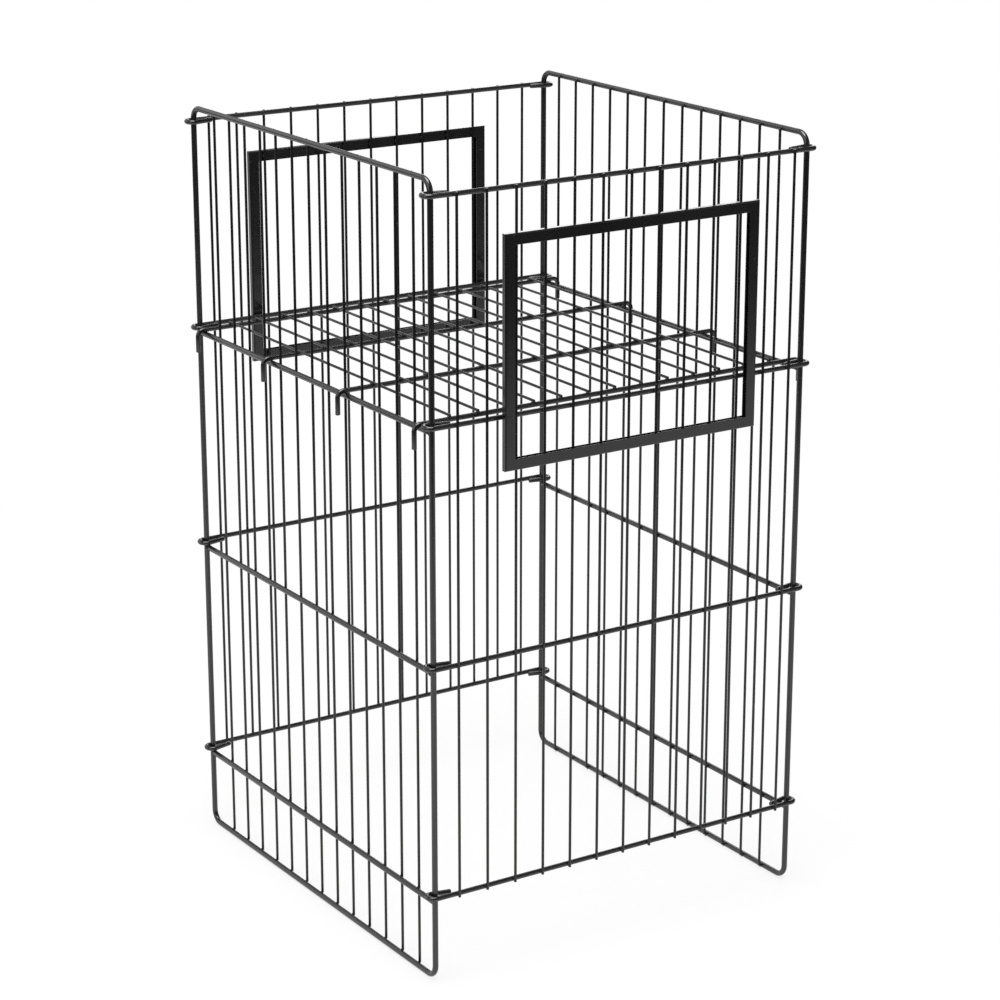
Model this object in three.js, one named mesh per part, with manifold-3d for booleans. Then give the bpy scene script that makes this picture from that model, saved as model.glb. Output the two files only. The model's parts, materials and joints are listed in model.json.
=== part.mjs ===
// A wire dump bin that stands on the floor: two sides, a front and a back hinged on the sides' corner posts,
// a shelf hooked over two side rails, and a sign frame on the front and on the back.
// Millimetres, +Z up, front towards -Y, origin on the floor in the middle of the bin.
import * as THREE from "three";
import { mergeVertices } from "three/addons/utils/BufferGeometryUtils.js";
import Module from "manifold-3d";

// Overall sizes
const binWidth = 428; // between the post axes, side to side
const binDepth = 457; // between the post axes, front to back
const binHeight = 788;

// Wire sizes
const frameWire = 5.6; // side loops and side rails
const railWire = 4.8; // front and back rails, shelf cross wires
const thinWire = 2.6; // uprights and shelf wires
const wireSides = 8; // each wire's section, with flats towards its neighbours
const bendStep = Math.PI / 6; // turn between two sections of a bend

// Fits
const touchGap = 0.3; // left between two wires that touch
const weldBite = 0.4; // how far a weld sinks one wire into another

// Sides
const loopRadius = 12.5; // corner bend of a side loop, on the wire's axis
const lowRailHeight = 82.1;
const railSpacing = 234; // between the low, middle and shelf rails
const uprightCount = 13; // in each side, and in the front and the back
const sideUprightInset = 36.5; // outermost uprights of a side, inwards from the post axes

// Front and back
const topRailDrop = 1.5; // top rail's axis below the corner bends of the side loops
const panelUprightInset = 22; // outermost uprights of the front and back, inwards from the post axes
const eyeLeg = 19; // how far an eye's return leg runs past the post's axis
const eyeStandoff = 2; // how far an eye's bend stands off the post
const eyeSlack = 0.7; // how much wider than the post an eye is bent, on its radius
const eyePinch = Math.PI / 13; // how much an eye's return leg turns back towards its rail
const eyeClearance = 0.9; // low and middle eyes above the side rails, so that the shelf eyes carry the panel

// Sign frame
const signWidth = 290;
const signHeight = 224;
const signDrop = 40.5; // sign frame's top edge below the top rail's axis
const signFace = 11;
const signDepth = 6.5;
const signWall = 1;
const signEdge = 1.2; // outer edge radius of the channel

// Shelf
const crossWireInset = 14.5; // outer cross wires, inwards from the post axes
const crossWireUpright = 5; // side upright that a middle cross wire lies next to, counted from the post
const crossWireStandoff = 10; // middle cross wires, outwards from that upright, axis to axis
const hookReach = 10; // hook leg outside the side rail, axis to axis
const hookRadius = 6.4;
const hookDrop = 23; // hook tip below the cross wire's axis
const shelfWireCount = 13;
const shelfWireInset = 28; // outermost shelf wires, inwards from the post axes
const shelfWireOverrun = 1.5; // shelf wires past the outer cross wires

// Places worked out from the sizes above
const postX = binWidth / 2;
const postY = binDepth / 2;
const loopTop = binHeight - frameWire / 2;
const loopBottom = frameWire / 2;
const frameToRail = (frameWire + railWire) / 2 + touchGap;
const frameToThin = (frameWire + thinWire) / 2 + touchGap;
const railToThin = (railWire + thinWire) / 2 + touchGap;
const weldShift = touchGap + weldBite; // a rail that its uprights bite into stands this much closer to them
const middleHeight = lowRailHeight + railSpacing;
const shelfHeight = middleHeight + railSpacing + eyeClearance;
const shelfEyeHeight = shelfHeight + frameToRail; // an eye that rests on the end of a side rail
const middleEyeHeight = shelfEyeHeight - railSpacing;
const lowEyeHeight = middleEyeHeight - railSpacing;
const eyeRadius = frameToRail + eyeSlack;

const wasm = await Module();
wasm.setup();

function coating() {
  return new THREE.MeshStandardMaterial({ color: 0x1b1c1e, roughness: 0.42, metalness: 0.1 });
}

function piece(name, geometry) {
  const mesh = new THREE.Mesh(geometry, coating());
  mesh.name = name;
  return mesh;
}

// The centre line of a bent wire: straight runs between its corners, each corner rounded to one radius.
class WirePath extends THREE.Curve {
  constructor(corners, radius = 0) {
    super();
    this.points = [];
    this.tangents = [];
    const last = corners.length - 1;
    const runs = corners.slice(1).map((corner, i) => corner.clone().sub(corners[i]).normalize());
    this.addStation(corners[0], runs[0]);
    for (let i = 1; i < last; i++) this.addBend(corners[i], runs[i - 1], runs[i], radius);
    this.addStation(corners[last], runs[last - 1]);
  }

  addBend(corner, before, after, radius) {
    const turn = before.angleTo(after);
    const inward = after.clone().addScaledVector(before, -Math.cos(turn)).divideScalar(Math.sin(turn));
    const start = corner.clone().addScaledVector(before, -radius * Math.tan(turn / 2));
    const steps = Math.ceil(turn / bendStep - 1e-6);
    for (let k = 0; k <= steps; k++) {
      const angle = (turn * k) / steps;
      const point = start.clone();
      point.addScaledVector(before, radius * Math.sin(angle));
      point.addScaledVector(inward, radius * (1 - Math.cos(angle)));
      const tangent = before.clone().multiplyScalar(Math.cos(angle));
      this.addStation(point, tangent.addScaledVector(inward, Math.sin(angle)));
    }
  }

  // Two bends that follow each other directly share a station.
  addStation(point, tangent) {
    const previous = this.points.at(-1);
    if (previous && previous.distanceTo(point) < 1e-6) return;
    this.points.push(point.clone());
    this.tangents.push(tangent.clone());
  }

  get steps() {
    return this.points.length - 1;
  }

  getSpacedPoints() {
    return this.points;
  }

  getTangentAt(share) {
    return this.tangents[Math.round(share * this.steps)];
  }
}

function wireSection(diameter) {
  const cornerRadius = diameter / 2 / Math.cos(Math.PI / wireSides);
  const points = [];
  for (let i = 0; i < wireSides; i++) {
    const angle = ((i + 0.5) * 2 * Math.PI) / wireSides;
    points.push(new THREE.Vector2(cornerRadius, 0).rotateAround(new THREE.Vector2(), angle));
  }
  return new THREE.Shape(points);
}

function wire(diameter, corners, radius) {
  const path = new WirePath(corners, radius);
  return new THREE.ExtrudeGeometry(wireSection(diameter), { steps: path.steps, extrudePath: path });
}

function at(x, y, z) {
  return new THREE.Vector3(x, y, z);
}

function solidOf(geometry) {
  const bare = geometry.clone();
  bare.deleteAttribute("normal");
  bare.deleteAttribute("uv");
  const merged = mergeVertices(bare);
  return new wasm.Manifold(
    new wasm.Mesh({
      numProp: 3,
      vertProperties: merged.attributes.position.array,
      triVerts: new Uint32Array(merged.index.array),
    }),
  );
}

function welded(geometries) {
  const [first, ...others] = geometries.map(solidOf);
  const mesh = others.reduce((whole, solid) => whole.add(solid), first).getMesh();
  const geometry = new THREE.BufferGeometry();
  geometry.setAttribute("position", new THREE.BufferAttribute(mesh.vertProperties, 3));
  geometry.setIndex(new THREE.BufferAttribute(mesh.triVerts, 1));
  return geometry;
}

// Places along an evenly spaced row that reaches equally far to both sides of zero.
function row(count, reach) {
  return Array.from({ length: count }, (_, i) => ((2 * i) / (count - 1) - 1) * reach);
}

const sideUprightPlaces = row(uprightCount, postY - sideUprightInset);
const panelUprightPlaces = row(uprightCount, postX - panelUprightInset);

function roundedRectangle(path, width, height, radius) {
  const x = width / 2 - radius;
  const y = height / 2 - radius;
  path.absarc(x, y, radius, 0, Math.PI / 2);
  path.absarc(-x, y, radius, Math.PI / 2, Math.PI);
  path.absarc(-x, -y, radius, Math.PI, 1.5 * Math.PI);
  path.absarc(x, -y, radius, 1.5 * Math.PI, 2 * Math.PI);
  path.closePath();
  return path;
}

// A closed wire loop: a flat ring whose bevelled edges give it the eight-sided section of the other wires.
function sideLoop() {
  const flat = frameWire * Math.tan(Math.PI / wireSides);
  const bevel = (frameWire - flat) / 2;
  const height = loopTop - loopBottom;
  const ring = roundedRectangle(new THREE.Shape(), binDepth + flat, height + flat, loopRadius + flat / 2);
  const inside = new THREE.Path();
  ring.holes.push(roundedRectangle(inside, binDepth - flat, height - flat, loopRadius - flat / 2));
  const geometry = new THREE.ExtrudeGeometry(ring, {
    depth: flat,
    curveSegments: 2,
    bevelSegments: 1,
    bevelSize: bevel,
    bevelThickness: bevel,
  });
  geometry.translate(0, 0, -flat / 2);
  geometry.applyMatrix4(new THREE.Matrix4().makeBasis(at(0, 1, 0), at(0, 0, 1), at(1, 0, 0)));
  return geometry.translate(-postX, 0, (loopTop + loopBottom) / 2);
}

function sideRail(height, shift = 0) {
  const end = postY - frameWire / 2 - touchGap;
  const x = -postX + shift;
  return wire(frameWire, [at(x, -end, height), at(x, end, height)]);
}

function sideUpright(y) {
  const x = -postX + frameToThin;
  return wire(thinWire, [at(x, y, loopBottom), at(x, y, loopTop)]);
}

// One side, drawn as the left one, with its uprights towards the middle of the bin.
function side(name) {
  const group = new THREE.Group();
  const uprights = sideUprightPlaces.map(sideUpright);
  group.add(
    piece(`${name}_loop`, sideLoop()),
    piece(`${name}_shelf_rail`, sideRail(shelfHeight)),
    piece(`${name}_low_rail`, sideRail(lowRailHeight)),
    piece(`${name}_grid`, welded([sideRail(middleHeight, weldShift), ...uprights])),
  );
  return group;
}

// A rail passes outside both posts, turns round each of them and ends in a short leg that closes on the rail.
function eyedRail(height, shift = 0) {
  const outerY = -postY - frameToRail;
  const turnY = outerY + eyeRadius * (1 + Math.tan(Math.PI / 4 + eyePinch / 2));
  const turnX = postX + frameToRail + eyeStandoff;
  const legX = postX - eyeLeg;
  const legY = turnY - (turnX - legX) * Math.tan(eyePinch);
  const corners = [
    at(-legX, legY, height),
    at(-turnX, turnY, height),
    at(-turnX, outerY - shift, height),
    at(turnX, outerY - shift, height),
    at(turnX, turnY, height),
    at(legX, legY, height),
  ];
  return wire(railWire, corners, eyeRadius);
}

const panelUprightY = -postY - frameToRail - railToThin;
const topRailHeight = loopTop - loopRadius - topRailDrop;

function panelUpright(x) {
  const bottom = lowEyeHeight - railWire / 2;
  const top = topRailHeight + railWire / 2;
  return wire(thinWire, [at(x, panelUprightY, bottom), at(x, panelUprightY, top)]);
}

// The channel's section, across its depth and inwards from its outer edge, open towards the sign.
function channelSection() {
  const back = signDepth / 2;
  const section = new THREE.Shape();
  section.moveTo(-back, signFace);
  section.lineTo(-back, signEdge);
  section.absarc(-back + signEdge, signEdge, signEdge, Math.PI, 1.5 * Math.PI);
  section.absarc(back - signEdge, signEdge, signEdge, 1.5 * Math.PI, 2 * Math.PI);
  section.lineTo(back, signFace);
  section.lineTo(back - signWall, signFace);
  section.lineTo(back - signWall, signWall);
  section.lineTo(-back + signWall, signWall);
  section.lineTo(-back + signWall, signFace);
  section.closePath();
  return section;
}

// One member of a sign frame along X, its outer edge at z = 0, with both ends mitred to meet its neighbours.
function signMember(length) {
  const half = length / 2 - touchGap;
  const geometry = new THREE.ExtrudeGeometry(channelSection(), {
    depth: 1,
    curveSegments: 1,
    bevelEnabled: false,
  });
  const position = geometry.attributes.position;
  for (let i = 0; i < position.count; i++) {
    const inward = position.getY(i);
    const end = position.getZ(i) > 0.5 ? 1 : -1;
    position.setXYZ(i, end * (half - inward), position.getX(i), inward);
  }
  return geometry;
}

function signFrame(name) {
  const group = new THREE.Group();
  const members = [
    ["bottom", signWidth, 0, -signHeight / 2, 0],
    ["top", signWidth, 0, signHeight / 2, Math.PI],
    ["left", signHeight, -signWidth / 2, 0, Math.PI / 2],
    ["right", signHeight, signWidth / 2, 0, -Math.PI / 2],
  ];
  for (const [place, length, x, z, turn] of members) {
    const member = piece(`${name}_sign_${place}`, signMember(length));
    member.position.set(x, 0, z);
    member.rotation.y = turn;
    group.add(member);
  }
  const y = panelUprightY - thinWire / 2 - touchGap - signDepth / 2;
  group.position.set(0, y, topRailHeight - signDrop - signHeight / 2);
  return group;
}

// The front or the back, drawn as the front one.
function panel(name) {
  const group = new THREE.Group();
  const uprights = panelUprightPlaces.map(panelUpright);
  group.add(
    piece(`${name}_top_rail`, eyedRail(topRailHeight)),
    piece(`${name}_shelf_rail`, eyedRail(shelfEyeHeight)),
    piece(`${name}_low_rail`, eyedRail(lowEyeHeight)),
    piece(`${name}_grid`, welded([eyedRail(middleEyeHeight, weldShift), ...uprights])),
    signFrame(name),
  );
  return group;
}

const crossWireHeight = shelfHeight + frameToRail;

function crossWire(y) {
  const x = postX + hookReach;
  const tip = crossWireHeight - hookDrop;
  const corners = [
    at(-x, y, tip),
    at(-x, y, crossWireHeight),
    at(x, y, crossWireHeight),
    at(x, y, tip),
  ];
  return wire(railWire, corners, hookRadius);
}

function shelf() {
  const group = new THREE.Group();
  const outer = postY - crossWireInset;
  const inner = sideUprightPlaces.at(-crossWireUpright) + crossWireStandoff;
  [-outer, -inner, inner, outer].forEach((y, i) => {
    group.add(piece(`shelf_cross_wire_${i + 1}`, crossWire(y)));
  });
  const end = outer + shelfWireOverrun;
  const z = crossWireHeight + railToThin;
  row(shelfWireCount, postX - shelfWireInset).forEach((x, i) => {
    const name = `shelf_wire_${String(i + 1).padStart(2, "0")}`;
    group.add(piece(name, wire(thinWire, [at(x, -end, z), at(x, end, z)])));
  });
  return group;
}

function turnedAbout(group) {
  group.rotation.z = Math.PI;
  return group;
}

const bin = new THREE.Group();
bin.add(side("left_side"), turnedAbout(side("right_side")));
bin.add(panel("front"), turnedAbout(panel("back")));
bin.add(shelf());

export default bin;
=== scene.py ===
# Wire dump bin: round coated wires, hinge eyes, shelf hooks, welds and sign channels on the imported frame.
import json
import math

import bmesh
import bpy
from mathutils import Matrix, Vector


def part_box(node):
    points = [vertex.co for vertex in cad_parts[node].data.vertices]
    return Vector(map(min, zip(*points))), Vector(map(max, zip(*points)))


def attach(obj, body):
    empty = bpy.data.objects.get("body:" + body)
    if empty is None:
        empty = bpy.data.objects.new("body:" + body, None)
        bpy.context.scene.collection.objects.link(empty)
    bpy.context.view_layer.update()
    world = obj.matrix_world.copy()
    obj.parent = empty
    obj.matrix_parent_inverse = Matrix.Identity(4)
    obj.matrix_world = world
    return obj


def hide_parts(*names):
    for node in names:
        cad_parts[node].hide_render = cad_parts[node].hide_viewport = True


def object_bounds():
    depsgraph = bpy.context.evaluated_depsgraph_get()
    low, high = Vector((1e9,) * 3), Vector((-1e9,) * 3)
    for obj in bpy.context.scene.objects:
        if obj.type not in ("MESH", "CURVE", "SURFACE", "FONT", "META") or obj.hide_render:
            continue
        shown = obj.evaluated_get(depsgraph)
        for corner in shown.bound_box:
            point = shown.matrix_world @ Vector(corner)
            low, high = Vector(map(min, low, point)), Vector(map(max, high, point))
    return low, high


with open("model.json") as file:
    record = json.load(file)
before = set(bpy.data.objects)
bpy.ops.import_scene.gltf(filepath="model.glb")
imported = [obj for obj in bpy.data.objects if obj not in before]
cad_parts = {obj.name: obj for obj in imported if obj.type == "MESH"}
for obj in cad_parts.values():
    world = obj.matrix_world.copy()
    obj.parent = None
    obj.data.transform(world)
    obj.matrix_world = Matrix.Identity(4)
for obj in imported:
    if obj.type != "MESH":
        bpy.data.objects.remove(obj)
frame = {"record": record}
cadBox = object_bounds()
scene = bpy.context.scene


# A node socket that works in Python expressions.
class Signal:
    def __init__(self, net, socket):
        self.net = net
        self.socket = socket

    def combine(self, operation, first, second):
        return self.net.add("ShaderNodeMath", {"operation": operation}, {0: first, 1: second})

    def __add__(self, other):
        return self.combine("ADD", self, other)

    def __radd__(self, other):
        return self.combine("ADD", other, self)

    def __sub__(self, other):
        return self.combine("SUBTRACT", self, other)

    def __rsub__(self, other):
        return self.combine("SUBTRACT", other, self)

    def __mul__(self, other):
        return self.combine("MULTIPLY", self, other)

    def __rmul__(self, other):
        return self.combine("MULTIPLY", other, self)


# One node tree. Settings go in first, then the values or links of the sockets.
class Net:
    def __init__(self, tree):
        self.tree = tree
        tree.nodes.clear()

    def add(self, kind, settings=None, sockets=None, out=0):
        node = self.tree.nodes.new(kind)
        for name, value in (settings or {}).items():
            setattr(node, name, value)
        for key, value in (sockets or {}).items():
            if isinstance(value, Signal):
                self.tree.links.new(value.socket, node.inputs[key])
            else:
                node.inputs[key].default_value = value
        return Signal(self, node.outputs[out]) if node.outputs else None


# Coatings

wireFinish = {
    "slot": "wire_coating",
    "shades": (0.45, 0.75),  # of the record's colour, in the dark patches and in the pale ones
    "sheen": 0.18,  # roughness where the coat lies smoothest
    "sheenSpread": 0.12,
    "density": 1.72,  # index of refraction of the coat
    "grainRoughness": 0.55,  # how strongly a noise's finer layers show
    "cloudScale": 16.0,  # uneven coat, patches of about 60 mm
    "cloudDetail": 3.0,
    "cloudReach": (0.35, 0.7),  # noise levels at which a patch is dark and pale
    "peelScale": 850.0,  # orange peel, about 1.2 mm
    "peelDetail": 1.0,
    "peelHeight": 0.000016,
    "speckScale": 2600.0,  # fine grain in the coat
    "speckDetail": 0.0,
    "speckShare": 0.25,  # of the peel's height
    "scuffScale": 240.0,  # small rubbed places, some millimetres across
    "scuffDetail": 2.0,
    "scuffReach": (0.7, 0.76),  # noise levels at which they begin and are full
    "scuffColour": (0.045, 0.045, 0.046, 1.0),
    "scuffMatt": 0.2,  # roughness that they add
    "dust": 0.06,  # share of dust colour on faces that look up
    "dustReach": (0.45, 1.0),  # how far up a face looks where dust begins and is full
    "dustColour": (0.16, 0.155, 0.15, 1.0),
    "dustMatt": 0.6,
}
# The thin wires' coat is a copy of the wire coat that reflects less and has a finer peel, so that the thin
# wires render darker: painted shade.
thinShadedFinish = dict(wireFinish, density=1.5, peelHeight=0.000008)
signFinish = dict(
    wireFinish,
    slot="sign_frame_coating",
    sheen=0.13,
    density=1.66,
    cloudScale=9.0,
    peelScale=620.0,
    peelHeight=0.00002,
    dust=0.05,
)


def slotColour(slot):
    for entry in frame["record"]["materials"]:
        if entry["slot"] == slot:
            return entry["base_color"]


def powderCoat(name, finish):
    material = bpy.data.materials.new(name)
    material.use_nodes = True
    net = Net(material.node_tree)
    place = net.add("ShaderNodeTexCoord", out="Object")
    facing = net.add("ShaderNodeNewGeometry", out="Normal")

    def grain(kind):
        sockets = {"Vector": place, "Scale": finish[kind + "Scale"], "Detail": finish[kind + "Detail"]}
        sockets["Roughness"] = finish["grainRoughness"]
        return net.add("ShaderNodeTexNoise", {}, sockets, out="Fac")

    def rise(value, reach):
        return net.add("ShaderNodeMapRange", {"clamp": True}, {0: value, 1: reach[0], 2: reach[1]})

    def blend(share, first, second):
        colours = {0: share, 6: first, 7: second}  # a Mix node's sockets for colours, as is its output 2
        return net.add("ShaderNodeMix", {"data_type": "RGBA"}, colours, out=2)

    cloud, peel, speck, rubbed = [grain(kind) for kind in ("cloud", "peel", "speck", "scuff")]
    dark, pale = [[share * value for value in slotColour(finish["slot"])] for share in finish["shades"]]
    coat = blend(rise(cloud, finish["cloudReach"]), (*dark, 1), (*pale, 1))
    scuff = rise(rubbed, finish["scuffReach"])
    coat = blend(scuff, coat, finish["scuffColour"])
    upward = net.add("ShaderNodeSeparateXYZ", {}, {0: facing}, out="Z")
    dust = rise(upward, finish["dustReach"]) * cloud * finish["dust"]
    colour = blend(dust, coat, finish["dustColour"])
    roughness = finish["sheen"] + finish["sheenSpread"] * cloud
    roughness = roughness + finish["dustMatt"] * dust + finish["scuffMatt"] * scuff
    relief = peel + finish["speckShare"] * speck
    bump = {"Strength": 1.0, "Distance": finish["peelHeight"], "Height": relief}
    normal = net.add("ShaderNodeBump", {}, bump)
    surface = {"Base Color": colour, "Roughness": roughness, "Normal": normal, "IOR": finish["density"]}
    shader = net.add("ShaderNodeBsdfPrincipled", {}, surface)
    net.add("ShaderNodeOutputMaterial", {}, {"Surface": shader})
    return material


wireCoat = powderCoat("wireCoat", wireFinish)
thinShadedCoat = powderCoat("thinShadedCoat", thinShadedFinish)
signCoat = powderCoat("signCoat", signFinish)
print("coatings: heavy wires, thin wires and sign frames")


# Node trees for what repeats or follows a path

def nodeTree(name, inputs):
    tree = bpy.data.node_groups.new(name, "GeometryNodeTree")
    net = Net(tree)
    for label, kind in inputs.items():
        tree.interface.new_socket(label, in_out="INPUT", socket_type="NodeSocket" + kind)
    tree.interface.new_socket("Geometry", in_out="OUTPUT", socket_type="NodeSocketGeometry")
    entry = tree.nodes.new("NodeGroupInput")
    given = {label: Signal(net, entry.outputs[label]) for label in inputs}
    return net, given


def endTree(net, geometry, given):
    whole = net.add("GeometryNodeRealizeInstances", {}, {0: geometry})
    smooth = net.add("GeometryNodeSetShadeSmooth", {}, {0: whole})
    coated = net.add("GeometryNodeSetMaterial", {}, {0: smooth, "Material": given["Coat"]})
    net.add("NodeGroupOutput", {}, {0: coated})
    return net.tree


# Runs a tree on a source mesh and keeps what comes out as a plain mesh.
def grow(tree, name, source, inputs):
    grown = bpy.data.objects.new(name, source)
    scene.collection.objects.link(grown)
    modifier = grown.modifiers.new(tree.name, "NODES")
    modifier.node_group = tree
    for label, value in inputs.items():
        modifier[tree.interface.items_tree[label].identifier] = value
    evaluated = grown.evaluated_get(bpy.context.evaluated_depsgraph_get())
    mesh = bpy.data.meshes.new_from_object(evaluated)
    grown.modifiers.remove(modifier)
    grown.data = mesh
    mesh.name = name
    return grown


# Says which body a piece rides on and which nodes it stands for.
def settle(piece, body, slot, *nodes):
    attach(piece, body)
    if nodes:
        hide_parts(*nodes)


# Wires

wireLook = {
    "coatThickness": 0.00007,  # stands on the bare wire
    "bendSteps": 10,  # in a quarter turn
    "roundOff": 1e-6,  # share of a step that a bend may be over without getting one more
    "samePlace": 1e-7,  # points closer than this are one
    "tipRound": 0.28,  # rounding of a cut end, in wire radii
    "tipSteps": 4,
    "thickSides": 28,
    "thinSides": 18,
}


# The section has a diameter of 1, so that girth times diameter is the wire's thickness.
def wireTree():
    inputs = {"Path": "Geometry", "Diameter": "Float", "Sides": "Int", "Count": "Int", "Step": "Vector"}
    net, given = nodeTree("wiresAlongPath", dict(inputs, Coat="Material"))
    line = net.add("GeometryNodeMeshToCurve", {}, {0: given["Path"]})
    girth = net.add("GeometryNodeInputNamedAttribute", {"data_type": "FLOAT"}, {"Name": "girth"})
    section = net.add("GeometryNodeCurvePrimitiveCircle", {}, {"Resolution": given["Sides"], "Radius": 0.5})
    size = girth * given["Diameter"]
    tube = {0: line, "Profile Curve": section, "Scale": size, "Fill Caps": True}
    wire = net.add("GeometryNodeCurveToMesh", {}, tube)
    places = net.add("GeometryNodeMeshLine", {}, {"Count": given["Count"], "Offset": given["Step"]})
    row = net.add("GeometryNodeInstanceOnPoints", {}, {0: places, "Instance": wire})
    return endTree(net, row, given)


wireNodes = wireTree()


# The centre line through the corners, each of them rounded.
def bentLine(corners, radius, closed=False):
    count = len(corners)
    line = []
    for i, corner in enumerate(corners):
        if not closed and i in (0, count - 1):
            line.append(corner)
            continue
        before = (corner - corners[i - 1]).normalized()
        after = (corners[(i + 1) % count] - corner).normalized()
        turn = before.angle(after)
        inward = (after - before * math.cos(turn)) / math.sin(turn)
        start = corner - before * radius * math.tan(turn / 2)
        steps = math.ceil(wireLook["bendSteps"] * turn / (math.pi / 2) - wireLook["roundOff"])
        for k in range(steps + 1):
            angle = turn * k / steps
            point = start + before * radius * math.sin(angle) + inward * radius * (1 - math.cos(angle))
            if not line or (point - line[-1]).length > wireLook["samePlace"]:
                line.append(point)
    return line


# Adds the rounded ends: extra places near each end, with the wire's girth there.
def roundedEnds(line, diameter):
    tip = wireLook["tipRound"] * diameter / 2
    steps = wireLook["tipSteps"]
    angles = [math.pi / 2 * k / steps for k in range(steps + 1)]
    girths = [1 - wireLook["tipRound"] * (1 - math.sin(a)) for a in angles]
    ends = []
    for end, following in ((line[0], line[1]), (line[-1], line[-2])):
        along = (following - end).normalized()
        ends.append([end + along * tip * (1 - math.cos(a)) for a in angles])
    head, tail = ends
    middle = line[1:-1]
    return head + middle + tail[::-1], girths + [1.0] * len(middle) + girths[::-1]


def wires(name, corners, diameter, radius=0.0, closed=False, count=1, step=(0.0, 0.0, 0.0), thin=False):
    line = bentLine([Vector(corner) for corner in corners], radius, closed)
    girths = [1.0] * len(line)
    if not closed:
        line, girths = roundedEnds(line, diameter)
    links = [(i, i + 1) for i in range(len(line) - 1)]
    if closed:
        links.append((len(line) - 1, 0))
    path = bpy.data.meshes.new(name + "Path")
    path.from_pydata(line, links, [])
    path.attributes.new("girth", "FLOAT", "POINT").data.foreach_set("value", girths)
    sides = wireLook["thinSides"] if thin else wireLook["thickSides"]
    coated = diameter + 2 * wireLook["coatThickness"]
    # Thin wires take the darker copy of the coat, which paints shade on them.
    coat = thinShadedCoat if thin else wireCoat
    sizes = {"Diameter": coated, "Sides": sides, "Count": count, "Step": step, "Coat": coat}
    return grow(wireNodes, name, path, sizes)


# Welds

weldLook = {
    "wide": 0.0036,  # across a crossing, in the plane of the panel
    "long": 0.0046,
    "deep": 0.0019,  # through the two wires
    "butt": 0.0068,  # collar where a rail's end meets a post
    "buttDeep": 0.0023,
    "spread": 0.12,  # nuggets are smaller or larger by up to this share
    "segments": 8,
    "rings": 5,
}


# The bead has a diameter of 1 before it is scaled.
def weldTree():
    inputs = {"Places": "Geometry", "Size": "Vector", "Spread": "Float", "Seed": "Int"}
    net, given = nodeTree("weldNuggets", dict(inputs, Coat="Material"))

    def scaled(share):
        return net.add("ShaderNodeVectorMath", {"operation": "SCALE"}, {0: given["Size"], 3: share})

    ball = {"Segments": weldLook["segments"], "Rings": weldLook["rings"], "Radius": 0.5}
    bead = net.add("GeometryNodeMeshUVSphere", {}, ball)
    between = {0: scaled(1 - given["Spread"]), 1: scaled(1 + given["Spread"]), "Seed": given["Seed"]}
    sizes = net.add("FunctionNodeRandomValue", {"data_type": "FLOAT_VECTOR"}, between)
    spots = net.add("GeometryNodeMeshToPoints", {}, {0: given["Places"]})
    beads = net.add("GeometryNodeInstanceOnPoints", {}, {0: spots, "Instance": bead, "Scale": sizes})
    return endTree(net, beads, given)


weldNodes = weldTree()


def welds(name, places, size, seed):
    spots = bpy.data.meshes.new(name + "Spots")
    spots.from_pydata(places, [], [])
    sizes = {"Size": size, "Spread": weldLook["spread"], "Seed": seed, "Coat": wireCoat}
    return grow(weldNodes, name, spots, sizes)


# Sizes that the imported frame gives

def evenRow(count, reach):
    return [(2 * i / (count - 1) - 1) * reach for i in range(count)]


def middleOf(node):
    low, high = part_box(node)
    return (low + high) / 2


def extentOf(node):
    low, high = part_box(node)
    return high - low


frameWire = extentOf("left_side_loop").x
railWire = extentOf("front_top_rail").z
thinWire = extentOf("shelf_wire_01").x
postX = abs(middleOf("left_side_loop").x)
postY = extentOf("left_side_loop").y / 2 - frameWire / 2
railSpacing = (middleOf("front_shelf_rail").z - middleOf("front_low_rail").z) / 2
print(f"wires: {1000 * frameWire:.1f}, {1000 * railWire:.1f} and {1000 * thinWire:.1f} mm")


# Left and right side

sideLook = {
    "cornerBend": 0.0125,
    "uprights": 13,
    "uprightInset": 0.0365,  # outermost uprights, inwards from the post axes
    "middleRailShift": 0.0007,  # the middle rail lies this much closer to the uprights
    "weldSeed": 3,
    "railWeldSeed": 5,
}


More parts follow.
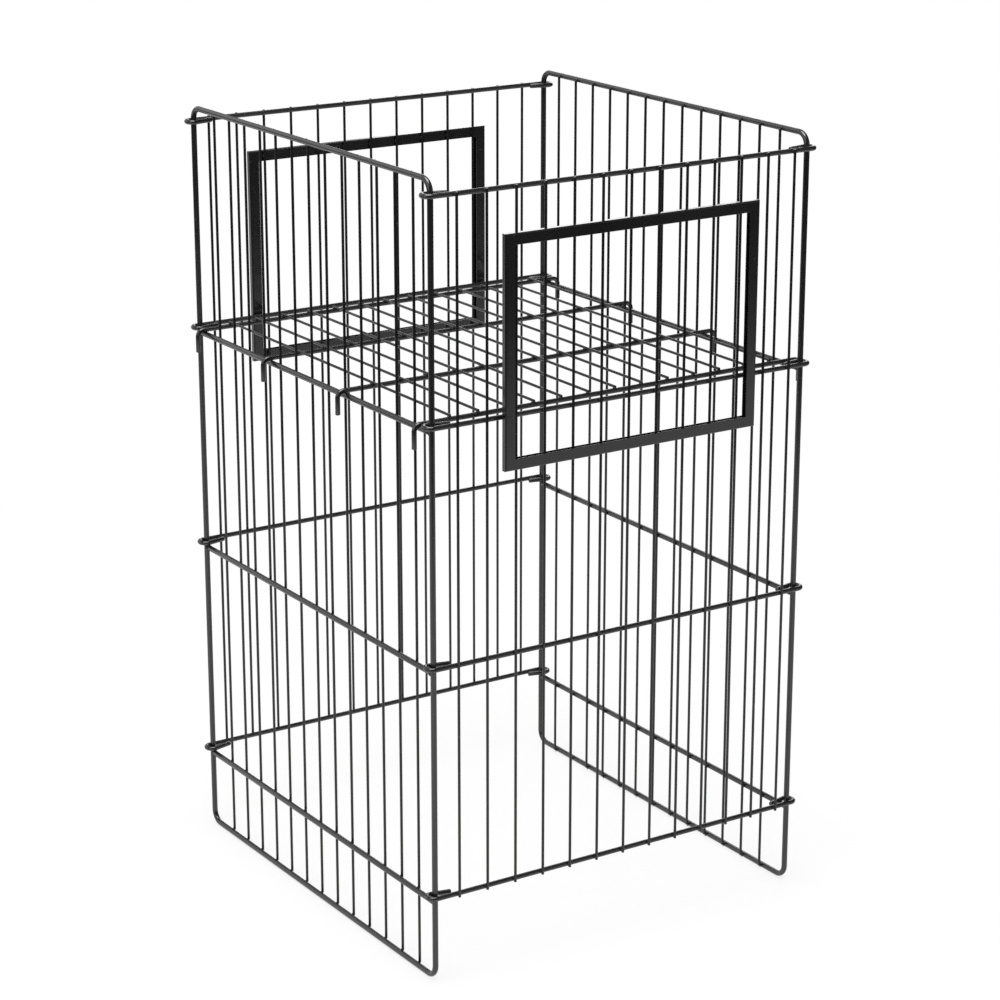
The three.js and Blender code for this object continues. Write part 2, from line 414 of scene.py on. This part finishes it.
def buildSide(body, label):
    loopLow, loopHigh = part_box(body + "_loop")
    gridLow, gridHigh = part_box(body + "_grid")
    x = middleOf(body + "_loop").x
    inward = -math.copysign(1, x)
    top = loopHigh.z - frameWire / 2
    bottom = loopLow.z + frameWire / 2
    corners = [(x, -postY, bottom), (x, postY, bottom), (x, postY, top), (x, -postY, top)]
    loop = wires(label + "Loop", corners, frameWire, sideLook["cornerBend"], closed=True)
    settle(loop, body, "wire_coating", body + "_loop")

    shelf = middleOf(body + "_shelf_rail").z
    low = middleOf(body + "_low_rail").z
    middle = low + railSpacing
    end = extentOf(body + "_shelf_rail").y / 2
    for level, height, shift, node in (
        ("Shelf", shelf, 0.0, "_shelf_rail"),
        ("Middle", middle, sideLook["middleRailShift"], "_grid"),
        ("Low", low, 0.0, "_low_rail"),
    ):
        railX = x + inward * shift
        rail = wires(label + level + "Rail", [(railX, -end, height), (railX, end, height)], frameWire)
        settle(rail, body, "wire_coating", body + node)

    innerFace = gridHigh.x if inward > 0 else gridLow.x
    uprightX = innerFace - inward * thinWire / 2
    reach = postY - sideLook["uprightInset"]
    count = sideLook["uprights"]
    corners = [(uprightX, -reach, gridLow.z), (uprightX, -reach, gridHigh.z)]
    step = (0.0, 2 * reach / (count - 1), 0.0)
    uprights = wires(label + "Uprights", corners, thinWire, count=count, step=step, thin=True)
    settle(uprights, body, "wire_coating", body + "_grid")

    seam = (x + inward * frameWire / 2 + uprightX - inward * thinWire / 2) / 2
    heights = (bottom, low, middle, shelf, top)
    spots = [(seam, y, z) for y in evenRow(count, reach) for z in heights]
    nugget = (weldLook["deep"], weldLook["wide"], weldLook["long"])
    crossings = welds(label + "Welds", spots, nugget, sideLook["weldSeed"])
    settle(crossings, body, "wire_coating")
    face = (end + postY - frameWire / 2) / 2
    spots = [(x, y, z) for y in (-face, face) for z in (low, middle, shelf)]
    collar = (weldLook["butt"], weldLook["buttDeep"], weldLook["butt"])
    butts = welds(label + "RailWelds", spots, collar, sideLook["railWeldSeed"])
    settle(butts, body, "wire_coating")


buildSide("left_side", "leftSide")
buildSide("right_side", "rightSide")
print("sides: loops, rails,", 2 * sideLook["uprights"], "uprights and welds")


# Sign frames

signLook = {
    "wall": 0.001,
    "face": 0.011,
    "edge": 0.0012,  # outer edge radius
    "edgeSteps": 5,
    "lip": 0.00028,  # rounding of the lips' edges
    "lipSteps": 3,
    "hold": 0.0001,  # narrow strip beside each rounding, which keeps the faces flat in the light
    "sharpAngle": 40,  # degrees, edges that turn more stay sharp
}


# The channel's outline as (across its depth, inwards from the outer edge), open towards the card.
def channelOutline(depth):
    back = depth / 2
    wall, face, edge, lip = signLook["wall"], signLook["face"], signLook["edge"], signLook["lip"]

    def arc(centre, radius, start, steps):
        angles = [start + math.pi / 2 * k / steps for k in range(steps + 1)]
        bend = [(centre[0] + radius * math.cos(a), centre[1] + radius * math.sin(a)) for a in angles]
        hold = signLook["hold"]
        before = (bend[0][0] + hold * math.sin(start), bend[0][1] - hold * math.cos(start))
        after = (bend[-1][0] - hold * math.cos(start), bend[-1][1] - hold * math.sin(start))
        return [before, *bend, after]

    outline = arc((-back + edge, edge), edge, math.pi, signLook["edgeSteps"])
    outline += arc((back - edge, edge), edge, 1.5 * math.pi, signLook["edgeSteps"])
    outline += arc((back - lip, face - lip), lip, 0.0, signLook["lipSteps"])
    outline += arc((back - wall + lip, face - lip), lip, 0.5 * math.pi, signLook["lipSteps"])
    outline += [(back - wall, wall), (-back + wall, wall)]
    outline += arc((-back + wall - lip, face - lip), lip, 0.0, signLook["lipSteps"])
    outline += arc((-back + lip, face - lip), lip, 0.5 * math.pi, signLook["lipSteps"])
    return outline


# One channel between two mitres. Half is half its outer length, along and inward its own directions.
def signChannel(name, node, along, inward, half):
    size = extentOf(node)
    outerEdge = middleOf(node) - inward * abs(size.dot(inward)) / 2
    across = Vector((0, 1, 0))
    outline = channelOutline(size.y)
    built = bmesh.new()
    rings = []
    for end in (-1, 1):
        ring = []
        for aside, inside in outline:
            spot = outerEdge + along * end * (half - inside) + across * aside + inward * inside
            ring.append(built.verts.new(spot))
        rings.append(ring)
    for i in range(len(outline)):
        j = (i + 1) % len(outline)
        built.faces.new((rings[0][i], rings[0][j], rings[1][j], rings[1][i]))
    for ring in rings:
        built.faces.new(ring)
    bmesh.ops.recalc_face_normals(built, faces=built.faces)
    for edge in built.edges:
        edge.smooth = edge.calc_face_angle() < math.radians(signLook["sharpAngle"])
    for face in built.faces:
        face.smooth = True
    mesh = bpy.data.meshes.new(name)
    built.to_mesh(mesh)
    built.free()
    mesh.materials.append(signCoat)
    piece = bpy.data.objects.new(name, mesh)
    scene.collection.objects.link(piece)
    return piece


# Builds the four channels. Half the frame's outer width and its two level members' heights come back.
def buildSign(label, body, outward):
    nodes = {place: f"{label}_sign_{place}" for place in ("bottom", "top", "left", "right")}
    halfHeight = (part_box(nodes["top"])[1].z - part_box(nodes["bottom"])[0].z) / 2
    halfWidth = -min(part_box(nodes[place])[0].x for place in ("left", "right"))
    rightward = -1 if outward > 0 else 1  # the back frame is the front one turned round
    for place, along, inward, half in (
        ("bottom", (1, 0, 0), (0, 0, 1), halfWidth),
        ("top", (1, 0, 0), (0, 0, -1), halfWidth),
        ("left", (0, 0, 1), (rightward, 0, 0), halfHeight),
        ("right", (0, 0, 1), (-rightward, 0, 0), halfHeight),
    ):
        name = f"{label}Sign{place.title()}"
        channel = signChannel(name, nodes[place], Vector(along), Vector(inward), half)
        settle(channel, body, "sign_frame_coating", nodes[place])
    return halfWidth, [middleOf(nodes[place]).z for place in ("bottom", "top")]


# Front and back

panelLook = {
    "eyeBend": 0.0062,
    "eyePinch": 180 / 13,  # degrees that the return leg turns back towards its rail
    "eyeLeg": 0.019,  # return leg, past the post's axis
    "uprights": 13,
    "uprightInset": 0.022,  # outermost uprights, inwards from the post axes
    "middleRailShift": 0.0007,  # the middle rail lies this much closer to the uprights
    "weldSeed": 7,
}


def buildPanel(label):
    body = label + "_panel"
    railLow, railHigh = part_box(label + "_top_rail")
    outward = math.copysign(1, (railLow.y + railHigh.y) / 2)
    outer = (railHigh.y if outward > 0 else railLow.y) - outward * railWire / 2
    bend, pinch = panelLook["eyeBend"], math.radians(panelLook["eyePinch"])
    turnX = railHigh.x - railWire / 2
    turnY = outer - outward * bend * (1 + math.tan(math.pi / 4 + pinch / 2))
    legX = postX - panelLook["eyeLeg"]
    legY = turnY + outward * (turnX - legX) * math.tan(pinch)
    heights = {level: middleOf(f"{label}_{level}_rail").z for level in ("top", "shelf", "low")}
    heights["middle"] = heights["low"] + railSpacing
    for level, height in heights.items():
        node = label + ("_grid" if level == "middle" else f"_{level}_rail")
        outerY = outer + outward * (panelLook["middleRailShift"] if level == "middle" else 0.0)
        halfWay = [(-legX, legY, height), (-turnX, turnY, height), (-turnX, outerY, height)]
        corners = halfWay + [(-cornerX, y, z) for cornerX, y, z in reversed(halfWay)]
        rail = wires(f"{label}{level.title()}Rail", corners, railWire, bend)
        settle(rail, body, "wire_coating", node)

    gridLow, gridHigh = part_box(label + "_grid")
    uprightY = (gridHigh.y if outward > 0 else gridLow.y) - outward * thinWire / 2
    reach = postX - panelLook["uprightInset"]
    count = panelLook["uprights"]
    places = evenRow(count, reach)
    corners = [(-reach, uprightY, gridLow.z), (-reach, uprightY, gridHigh.z)]
    step = (2 * reach / (count - 1), 0.0, 0.0)
    uprights = wires(label + "Uprights", corners, thinWire, count=count, step=step, thin=True)
    settle(uprights, body, "wire_coating", label + "_grid")

    signHalf, signHeights = buildSign(label, body, outward)
    seam = (outer + outward * railWire / 2 + uprightY - outward * thinWire / 2) / 2
    spots = [(x, seam, z) for x in places for z in heights.values()]
    signFace = uprightY + outward * thinWire / 2
    signPlaces = [x for x in places if abs(x) < signHalf - signLook["face"]]
    spots += [(x, signFace, z) for x in signPlaces for z in signHeights]
    nugget = (weldLook["wide"], weldLook["deep"], weldLook["long"])
    crossings = welds(label + "Welds", spots, nugget, panelLook["weldSeed"])
    settle(crossings, body, "wire_coating")


buildPanel("front")
buildPanel("back")
print("front and back: eyed rails,", 2 * panelLook["uprights"], "uprights, sign frames and welds")


# Shelf

shelfLook = {
    "hookBend": 0.0064,
    "crossWires": 4,
    "wires": 13,
    "weldSeed": 11,
}


def buildShelf():
    crossings = []
    for i in range(shelfLook["crossWires"]):
        node = f"shelf_cross_wire_{i + 1}"
        low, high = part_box(node)
        y = (low.y + high.y) / 2
        legX = high.x - railWire / 2
        height = high.z - railWire / 2
        corners = [(-legX, y, low.z), (-legX, y, height), (legX, y, height), (legX, y, low.z)]
        cross = wires(f"shelfCrossWire{i + 1}", corners, railWire, shelfLook["hookBend"])
        settle(cross, "shelf", "wire_coating", node)
        crossings.append((y, high.z))
    nodes = [f"shelf_wire_{i + 1:02d}" for i in range(shelfLook["wires"])]
    low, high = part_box(nodes[0])
    first, last = middleOf(nodes[0]), middleOf(nodes[-1])
    step = tuple((last - first) / (len(nodes) - 1))
    corners = [(first.x, low.y, first.z), (first.x, high.y, first.z)]
    row = wires("shelfWires", corners, thinWire, count=len(nodes), step=step, thin=True)
    settle(row, "shelf", "wire_coating", *nodes)
    spots = []
    for y, topFace in crossings:
        spots += [(middleOf(node).x, y, (topFace + low.z) / 2) for node in nodes]
    nugget = (weldLook["long"], weldLook["wide"], weldLook["deep"])
    joins = welds("shelfWelds", spots, nugget, shelfLook["weldSeed"])
    settle(joins, "shelf", "wire_coating")


buildShelf()
print("shelf:", shelfLook["crossWires"], "hooked cross wires and", shelfLook["wires"], "wires")


# Stage: the wires mirror a white paper on the floor and a white panel in a dim room

stageLook = {
    "floorSize": 60.0,
    "floorDrop": 0.0003,  # below the bin, so that the coat stays clear of it
    "floorColour": (0.86, 0.86, 0.86, 1.0),
    "floorWhite": 0.8,  # share of plain white near the bin, the rest keeps the shadow
    "shadowReach": (0.5, 1.4),  # from the bin's middle, the floor turns plain white between these
    "paperHeading": (0.33, 0.944, 0.0),  # across the paper's front edge
    "paperEdge": (-1.76, -1.38),  # along that heading, dim before the first, white after the second
    "paperEnd": (8.0, 12.0),  # along +Y, white before the first, dim after the second
    "paperLeft": (-2.1, -1.7),  # along +X, it begins between these
    "paperRim": (1.4, 1.8),  # along +X, it ends between these
    "paperSide": (-0.7, 0.5),  # along +X, it darkens a little from the first to the second
    "paperRight": 0.8,  # white that is left there
    "panelHeading": (-0.545, 0.838, 0.0),  # where the panel stands
    "panelWidth": (0.3, 0.9),  # from dim to white, as the cosine of the angle to its heading
    "panelFoot": (-0.02, 0.06),  # the same, as the sine of the height
    "panelTop": (0.7, 0.9),  # from white to dim
    "dim": 0.055,
    "skyLight": 0.42,
}
lampLook = {  # metres and watts
    "left": {"place": (-2.4, -0.9, 1.9), "size": (1.6, 2.0), "power": 14.0},
    "right": {"place": (1.7, -2.6, 1.4), "size": (1.5, 1.6), "power": 3.0},
    "back": {"place": (1.9, 2.0, 1.6), "size": (1.6, 1.4), "power": 20.0},
    "top": {"place": (-0.3, -0.3, 2.8), "size": (1.7, 1.7), "power": 66.0},
}


# Rays straight from the camera, and those that come by way of a mirroring or clear surface.
def sightRays(net):
    kinds = ("Is Camera Ray", "Is Glossy Ray", "Is Transmission Ray")
    direct, mirrored, through = [net.add("ShaderNodeLightPath", out=kind) for kind in kinds]
    return direct, mirrored + through


def fade(net, value, reach, start, end):
    sockets = {0: value, 1: reach[0], 2: reach[1], 3: start, 4: end}
    return net.add("ShaderNodeMapRange", {"clamp": True, "interpolation_type": "SMOOTHSTEP"}, sockets)


def reachAlong(net, place, heading):
    sockets = {0: place, 1: heading}
    return net.add("ShaderNodeVectorMath", {"operation": "DOT_PRODUCT"}, sockets, out="Value")


def floorPaper():
    material = bpy.data.materials.new("paleFloor")
    material.use_nodes = True
    net = Net(material.node_tree)
    place = net.add("ShaderNodeTexCoord", out="Object")
    away = net.add("ShaderNodeVectorMath", {"operation": "LENGTH"}, {0: place}, out="Value")
    inward = reachAlong(net, place, stageLook["paperHeading"])
    aside = reachAlong(net, place, (1, 0, 0))
    back = reachAlong(net, place, (0, 1, 0))
    paper = fade(net, inward, stageLook["paperEdge"], 0.0, 1.0)
    paper = paper * fade(net, back, stageLook["paperEnd"], 1.0, 0.0)
    paper = paper * fade(net, aside, stageLook["paperSide"], 1.0, stageLook["paperRight"])
    paper = paper * fade(net, aside, stageLook["paperLeft"], 0.0, 1.0)
    paper = paper * fade(net, aside, stageLook["paperRim"], 1.0, 0.0)
    shown = stageLook["dim"] + (1 - stageLook["dim"]) * paper
    direct, mirrored = sightRays(net)
    plain = fade(net, away, stageLook["shadowReach"], stageLook["floorWhite"], 1.0)
    matt = net.add("ShaderNodeBsdfDiffuse", {}, {"Color": stageLook["floorColour"]})
    white = net.add("ShaderNodeEmission", {}, {"Color": direct + mirrored * shown})
    shader = net.add("ShaderNodeMixShader", {}, {0: mirrored + direct * plain, 1: matt, 2: white})
    net.add("ShaderNodeOutputMaterial", {}, {"Surface": shader})
    return material


def buildFloor():
    built = bmesh.new()
    bmesh.ops.create_grid(built, x_segments=1, y_segments=1, size=stageLook["floorSize"] / 2)
    mesh = bpy.data.meshes.new("floor")
    built.to_mesh(mesh)
    built.free()
    mesh.materials.append(floorPaper())
    floor = bpy.data.objects.new("floor", mesh)
    scene.collection.objects.link(floor)
    floor.location.z = -stageLook["floorDrop"]


def buildSky():
    world = bpy.data.worlds.new("studio")
    scene.world = world
    world.use_nodes = True
    net = Net(world.node_tree)
    heading = net.add("ShaderNodeTexCoord", out="Generated")
    above = net.add("ShaderNodeSeparateXYZ", {}, {0: heading}, out="Z")
    toPanel = reachAlong(net, heading, stageLook["panelHeading"])
    panel = fade(net, toPanel, stageLook["panelWidth"], 0.0, 1.0)
    panel = panel * fade(net, above, stageLook["panelFoot"], 0.0, 1.0)
    panel = panel * fade(net, above, stageLook["panelTop"], 1.0, 0.0)
    shown = stageLook["dim"] + (1 - stageLook["dim"]) * panel
    direct, mirrored = sightRays(net)
    light = {"Color": (1, 1, 1, 1), "Strength": stageLook["skyLight"]}
    soft = net.add("ShaderNodeBackground", {}, light)
    white = net.add("ShaderNodeBackground", {}, {"Color": direct + mirrored * shown})
    shader = net.add("ShaderNodeMixShader", {}, {0: direct + mirrored, 1: soft, 2: white})
    net.add("ShaderNodeOutputWorld", {}, {"Surface": shader})


def buildLamps():
    target = (cadBox[0] + cadBox[1]) / 2
    for name, look in lampLook.items():
        lamp = bpy.data.lights.new(name + "Lamp", "AREA")
        lamp.shape = "RECTANGLE"
        lamp.size, lamp.size_y = look["size"]
        lamp.energy = look["power"]
        holder = bpy.data.objects.new(name + "Lamp", lamp)
        holder.visible_camera = False
        scene.collection.objects.link(holder)
        place = Vector(look["place"])
        turn = (target - place).to_track_quat("-Z", "Y").to_matrix().to_4x4()
        holder.matrix_world = Matrix.Translation(place) @ turn


buildFloor()
buildSky()
buildLamps()
print("stage: pale floor and", len(lampLook), "soft lamps")


# Camera

cameraLook = {
    "place": (-1.5564, -2.4092, 1.2820),
    "azimuth": -33.01,  # degrees, 0 looks along +Y
    "elevation": 17.25,
    "lens": 104.98,
    "clip": (0.05, 50.0),
}


def buildCamera():
    camera = bpy.data.cameras.new("camera")
    camera.lens = cameraLook["lens"]
    camera.clip_start, camera.clip_end = cameraLook["clip"]
    holder = bpy.data.objects.new("camera", camera)
    scene.collection.objects.link(holder)
    around = math.radians(cameraLook["azimuth"])
    above = math.radians(cameraLook["elevation"])
    back = (math.sin(around) * math.cos(above), -math.cos(around) * math.cos(above), math.sin(above))
    turn = (-Vector(back)).to_track_quat("-Z", "Y").to_matrix().to_4x4()
    holder.matrix_world = Matrix.Translation(cameraLook["place"]) @ turn
    scene.camera = holder


buildCamera()
scene.view_settings.view_transform = "Standard"
